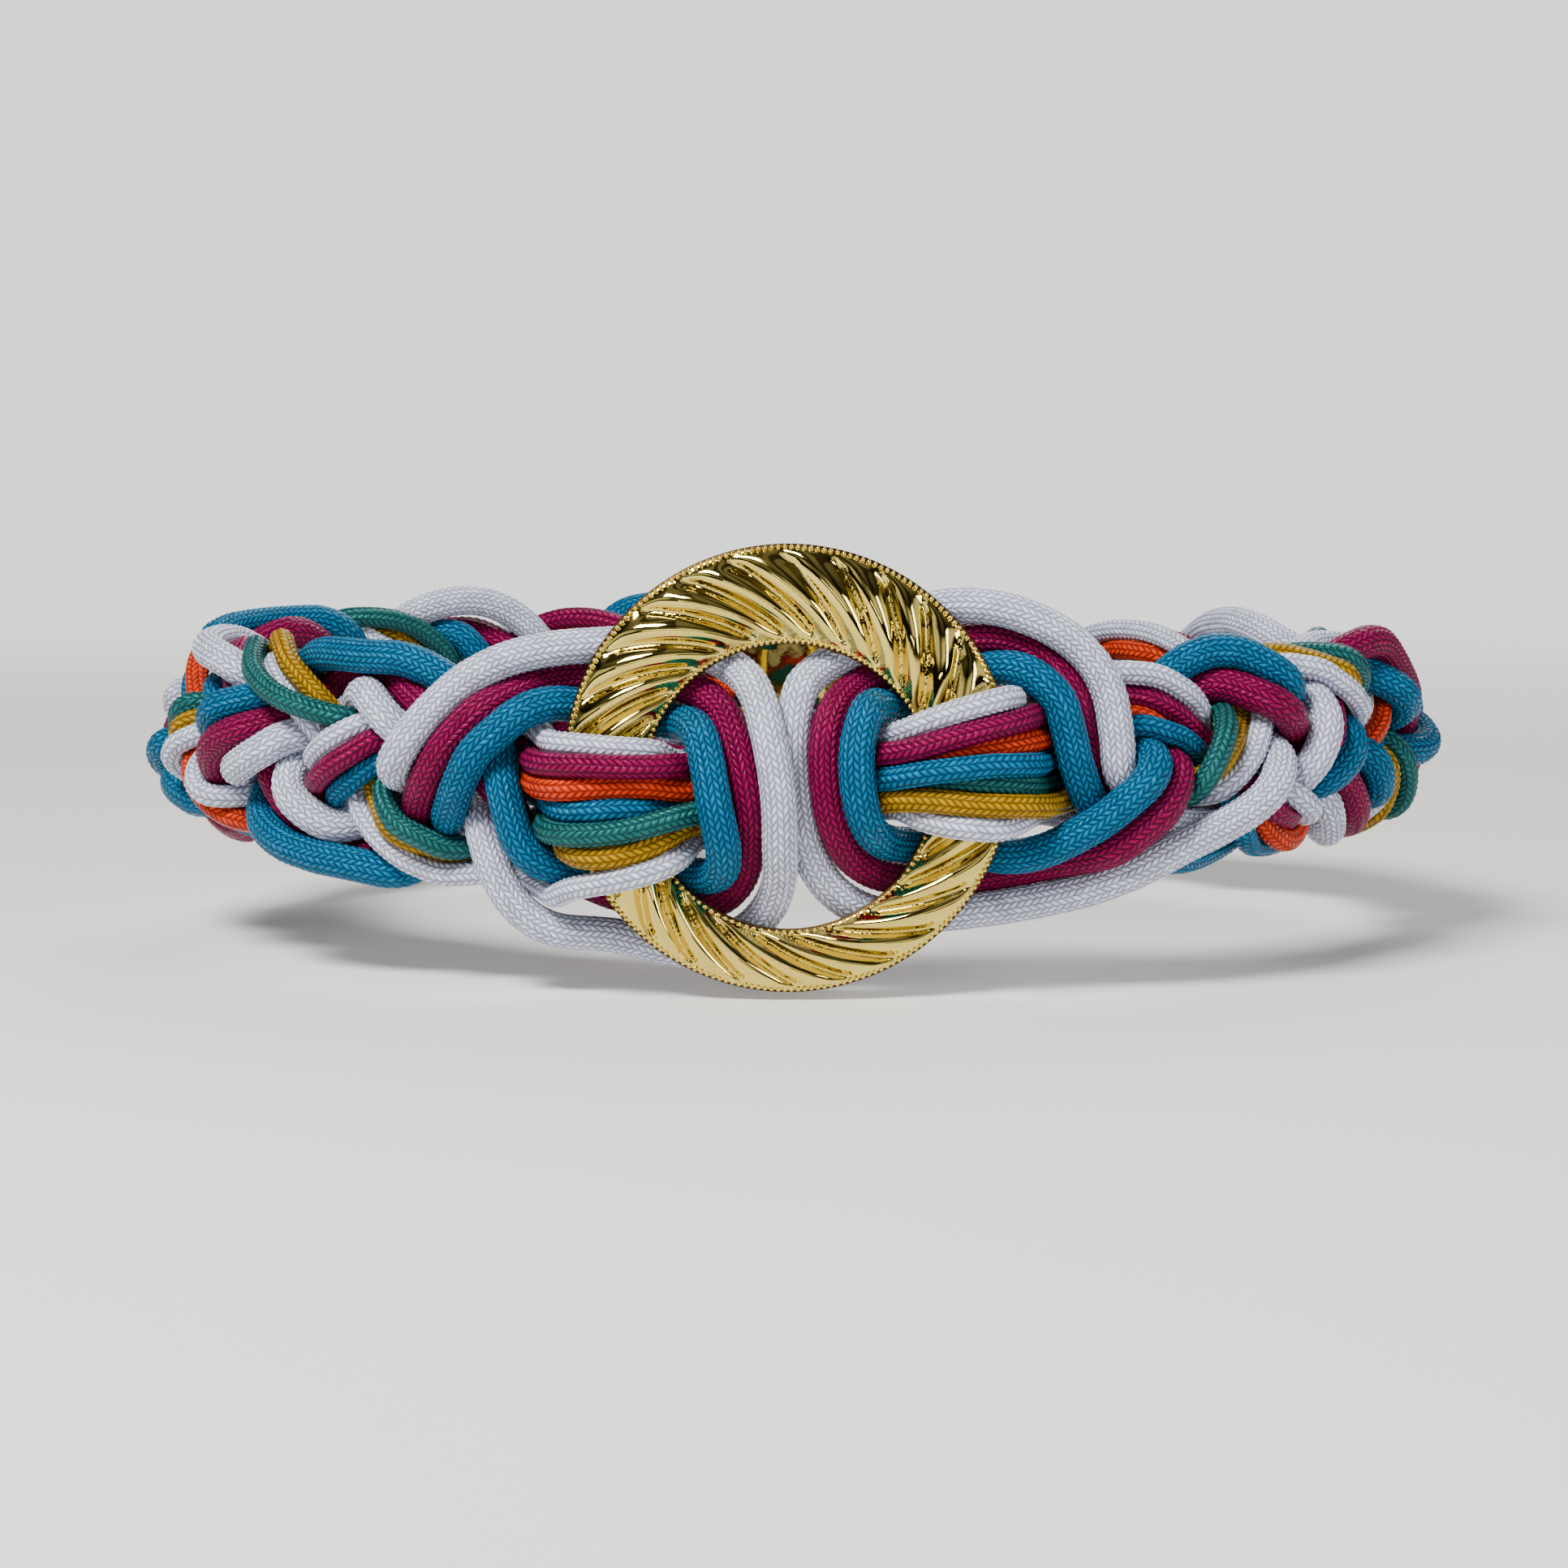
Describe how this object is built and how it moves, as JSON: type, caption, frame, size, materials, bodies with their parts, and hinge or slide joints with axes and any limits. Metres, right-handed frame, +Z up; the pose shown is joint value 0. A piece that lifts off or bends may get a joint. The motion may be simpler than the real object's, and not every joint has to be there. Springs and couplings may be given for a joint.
{
  "type": "rope belt",
  "caption": "Closed rope belt shown worn: braided cords plaited into two flat sides, joined by a fluted gold ring in front and a plain sleeve behind.",
  "frame": {"origin": "centre of the waist loop, at the height of the middle of the plaits", "axes": "+X to the wearer's left, which is the right in a view of the ring, -Y forwards through the ring, +Z up along the wearer"},
  "size_m": [0.294, 0.2258, 0.0889],
  "materials": {
    "ring_gold": "bright gold-coloured plating with darkened edges of small beads",
    "sleeve_gold": "plain gold-coloured plating",
    "cord_white": "satin braided synthetic cord",
    "cord_magenta": "satin braided synthetic cord",
    "cord_blue": "satin braided synthetic cord",
    "cord_orange": "satin braided synthetic cord",
    "cord_teal": "satin braided synthetic cord",
    "cord_yellow": "satin braided synthetic cord"
  },
  "bodies": {
    "root": {"ring": "ring_gold", "sleeve": "sleeve_gold", "thick_cord_left_white": "cord_white", "thick_cord_left_magenta": "cord_magenta", "thick_cord_left_blue": "cord_blue", "thick_cord_right_white": "cord_white", "thick_cord_right_magenta": "cord_magenta", "thick_cord_right_blue": "cord_blue", "thin_cord_white_1": "cord_white", "thin_cord_magenta": "cord_magenta", "thin_cord_orange": "cord_orange", "thin_cord_blue": "cord_blue", "thin_cord_teal": "cord_teal", "thin_cord_yellow": "cord_yellow", "thin_cord_white_2": "cord_white"}
  },
  "joints": []
}
